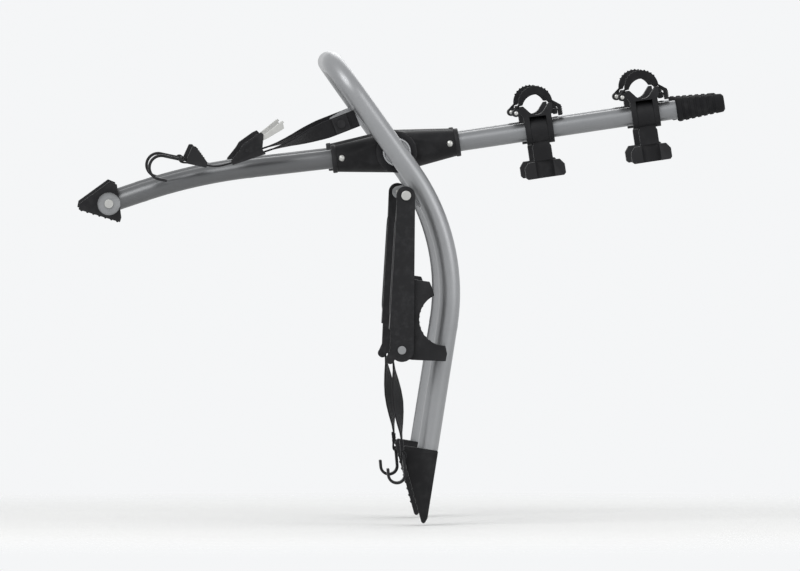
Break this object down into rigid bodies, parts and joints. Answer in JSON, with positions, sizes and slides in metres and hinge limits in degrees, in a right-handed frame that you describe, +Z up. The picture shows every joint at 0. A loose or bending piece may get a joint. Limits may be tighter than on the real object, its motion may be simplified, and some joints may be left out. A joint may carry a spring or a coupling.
{
  "type": "strap-on bike rack",
  "caption": "Boot-lid bike rack: a bent tube hoop on rubber feet with clamping hubs, folding arms that carry tie-down cradles, upper legs, and tension straps with hooks.",
  "frame": {"origin": "midway between the car-side faces of the lower feet, where the rack rests against the car", "axes": "+X rearwards from the car along the arms, +Z up, +Y across the car to its right"},
  "size_m": [0.9335, 0.602, 0.6776],
  "materials": {
    "hoop_paint": "satin silver powder coat",
    "arm_paint": "satin silver powder coat",
    "leg_paint": "satin grey powder coat",
    "hub_plastic": "fine moulded grain",
    "knob_plastic": "fine moulded grain",
    "cradle_plastic": "moulded, slightly worn edges",
    "handle_plastic": "moulded grain",
    "tie_rubber": "smooth matt",
    "foot_rubber": "matt moulded",
    "grip_rubber": "matt ribbed",
    "webbing": "woven webbing",
    "zinc_steel": "bright zinc plate",
    "dark_steel": "dull plated steel",
    "coated_steel": "black dip coating"
  },
  "bodies": {
    "frame": {"hoop": "hoop_paint", "hub_bolts": "zinc_steel", "friction_washers": "dark_steel", "strap_pins": "zinc_steel", "strap_rivets": "coated_steel", "lower_foot_left": "foot_rubber", "upper_strap_left": "webbing", "cam_buckle_left": "coated_steel", "strap_slide_left": "handle_plastic", "upper_hook_left": "coated_steel", "lower_foot_right": "foot_rubber", "upper_strap_right": "webbing", "cam_buckle_right": "coated_steel", "strap_slide_right": "handle_plastic", "upper_hook_right": "coated_steel"},
    "hub_knob_left": {"hub_knob_left": "knob_plastic"},
    "arm_left": {"arm_tube_left": "arm_paint", "arm_hub_left": "hub_plastic", "arm_grip_left": "grip_rubber", "saddle_inner_left": "cradle_plastic", "saddle_outer_left": "cradle_plastic"},
    "upper_leg_left": {"leg_tube_left": "leg_paint", "leg_hub_left": "hub_plastic", "foot_pin_left": "zinc_steel"},
    "upper_foot_left": {"foot_yoke_left": "dark_steel", "foot_pad_left": "foot_rubber"},
    "cam_lever_left": {"cam_lever_left": "zinc_steel"},
    "tensioner_left": {"tensioner_left": "coated_steel", "lower_strap_left": "webbing", "lower_hook_left": "coated_steel"},
    "ratchet_spool_left": {"ratchet_spool_left": "dark_steel"},
    "ratchet_handle_left": {"ratchet_handle_left": "handle_plastic"},
    "tie_inner_left": {"tie_inner_left": "tie_rubber"},
    "stabiliser_inner_left": {"stabiliser_inner_left": "cradle_plastic"},
    "tie_outer_left": {"tie_outer_left": "tie_rubber"},
    "stabiliser_outer_left": {"stabiliser_outer_left": "cradle_plastic"},
    "hub_knob_right": {"hub_knob_right": "knob_plastic"},
    "arm_right": {"arm_tube_right": "arm_paint", "arm_hub_right": "hub_plastic", "arm_grip_right": "grip_rubber", "saddle_inner_right": "cradle_plastic", "saddle_outer_right": "cradle_plastic"},
    "upper_leg_right": {"leg_tube_right": "leg_paint", "leg_hub_right": "hub_plastic", "foot_pin_right": "zinc_steel"},
    "upper_foot_right": {"foot_yoke_right": "dark_steel", "foot_pad_right": "foot_rubber"},
    "cam_lever_right": {"cam_lever_right": "zinc_steel"},
    "tensioner_right": {"tensioner_right": "coated_steel", "lower_strap_right": "webbing", "lower_hook_right": "coated_steel"},
    "ratchet_spool_right": {"ratchet_spool_right": "dark_steel"},
    "ratchet_handle_right": {"ratchet_handle_right": "handle_plastic"},
    "tie_inner_right": {"tie_inner_right": "tie_rubber"},
    "stabiliser_inner_right": {"stabiliser_inner_right": "cradle_plastic"},
    "tie_outer_right": {"tie_outer_right": "tie_rubber"},
    "stabiliser_outer_right": {"stabiliser_outer_right": "cradle_plastic"}
  },
  "joints": [
    {"name": "arm_fold_left", "type": "hinge", "parent": "frame", "child": "arm_left", "pos_m": [-0.02116, -0.134, 0.48046], "axis": [0, 1, 0], "range_deg": [-15, 80]},
    {"name": "leg_fold_left", "type": "hinge", "parent": "frame", "child": "upper_leg_left", "pos_m": [-0.02116, -0.182, 0.48046], "axis": [0, 1, 0], "range_deg": [-70, 15]},
    {"name": "knob_turn_left", "type": "hinge", "parent": "frame", "child": "hub_knob_left", "pos_m": [-0.02116, -0.097, 0.48046], "axis": [0, 1, 0], "continuous": true},
    {"name": "foot_swivel_left", "type": "hinge", "parent": "upper_leg_left", "child": "upper_foot_left", "pos_m": [-0.43523, -0.182, 0.40569], "axis": [0, 1, 0], "range_deg": [-15, 15]},
    {"name": "tie_open_inner_left", "type": "hinge", "parent": "arm_left", "child": "tie_inner_left", "pos_m": [0.15258, -0.134, 0.53575], "axis": [0, 1, 0], "range_deg": [-110, 0]},
    {"name": "stabiliser_swing_inner_left", "type": "hinge", "parent": "arm_left", "child": "stabiliser_inner_left", "pos_m": [0.18654, -0.134, 0.5115], "axis": [0.989, 0, 0.1478], "range_deg": [-60, 60]},
    {"name": "tie_open_outer_left", "type": "hinge", "parent": "arm_left", "child": "tie_outer_left", "pos_m": [0.30588, -0.134, 0.55866], "axis": [0, 1, 0], "range_deg": [-110, 0]},
    {"name": "stabiliser_swing_outer_left", "type": "hinge", "parent": "arm_left", "child": "stabiliser_outer_left", "pos_m": [0.33983, -0.134, 0.53441], "axis": [0.989, 0, 0.1478], "range_deg": [-60, 60]},
    {"name": "cam_press_left", "type": "hinge", "parent": "frame", "child": "cam_lever_left", "pos_m": [-0.23716, -0.235, 0.483], "axis": [0, 1, 0], "range_deg": [0, 14], "stiffness_Nm_per_rad": 0.8},
    {"name": "tensioner_swing_left", "type": "hinge", "parent": "frame", "child": "tensioner_left", "pos_m": [-0.00916, -0.275, 0.41846], "axis": [0, 1, 0], "range_deg": [-10, 12]},
    {"name": "spool_turn_left", "type": "hinge", "parent": "tensioner_left", "child": "ratchet_spool_left", "pos_m": [-0.01516, -0.275, 0.19646], "axis": [0, 1, 0], "continuous": true},
    {"name": "handle_pull_left", "type": "hinge", "parent": "tensioner_left", "child": "ratchet_handle_left", "pos_m": [-0.01516, -0.275, 0.19646], "axis": [0, 1, 0], "range_deg": [0, 55]},
    {"name": "arm_fold_right", "type": "hinge", "parent": "frame", "child": "arm_right", "pos_m": [-0.02116, 0.134, 0.48046], "axis": [0, 1, 0], "range_deg": [-15, 80]},
    {"name": "leg_fold_right", "type": "hinge", "parent": "frame", "child": "upper_leg_right", "pos_m": [-0.02116, 0.182, 0.48046], "axis": [0, 1, 0], "range_deg": [-70, 15]},
    {"name": "knob_turn_right", "type": "hinge", "parent": "frame", "child": "hub_knob_right", "pos_m": [-0.02116, 0.097, 0.48046], "axis": [0, 1, 0], "continuous": true},
    {"name": "foot_swivel_right", "type": "hinge", "parent": "upper_leg_right", "child": "upper_foot_right", "pos_m": [-0.43523, 0.182, 0.40569], "axis": [0, 1, 0], "range_deg": [-15, 15]},
    {"name": "tie_open_inner_right", "type": "hinge", "parent": "arm_right", "child": "tie_inner_right", "pos_m": [0.15258, 0.134, 0.53575], "axis": [0, 1, 0], "range_deg": [-110, 0]},
    {"name": "stabiliser_swing_inner_right", "type": "hinge", "parent": "arm_right", "child": "stabiliser_inner_right", "pos_m": [0.18654, 0.134, 0.5115], "axis": [0.989, 0, 0.1478], "range_deg": [-60, 60]},
    {"name": "tie_open_outer_right", "type": "hinge", "parent": "arm_right", "child": "tie_outer_right", "pos_m": [0.30588, 0.134, 0.55866], "axis": [0, 1, 0], "range_deg": [-110, 0]},
    {"name": "stabiliser_swing_outer_right", "type": "hinge", "parent": "arm_right", "child": "stabiliser_outer_right", "pos_m": [0.33983, 0.134, 0.53441], "axis": [0.989, 0, 0.1478], "range_deg": [-60, 60]},
    {"name": "cam_press_right", "type": "hinge", "parent": "frame", "child": "cam_lever_right", "pos_m": [-0.23716, 0.235, 0.483], "axis": [0, 1, 0], "range_deg": [0, 14], "stiffness_Nm_per_rad": 0.8},
    {"name": "tensioner_swing_right", "type": "hinge", "parent": "frame", "child": "tensioner_right", "pos_m": [-0.00916, 0.275, 0.41846], "axis": [0, 1, 0], "range_deg": [-10, 12]},
    {"name": "spool_turn_right", "type": "hinge", "parent": "tensioner_right", "child": "ratchet_spool_right", "pos_m": [-0.01516, 0.275, 0.19646], "axis": [0, 1, 0], "continuous": true},
    {"name": "handle_pull_right", "type": "hinge", "parent": "tensioner_right", "child": "ratchet_handle_right", "pos_m": [-0.01516, 0.275, 0.19646], "axis": [0, 1, 0], "range_deg": [0, 55]}
  ]
}
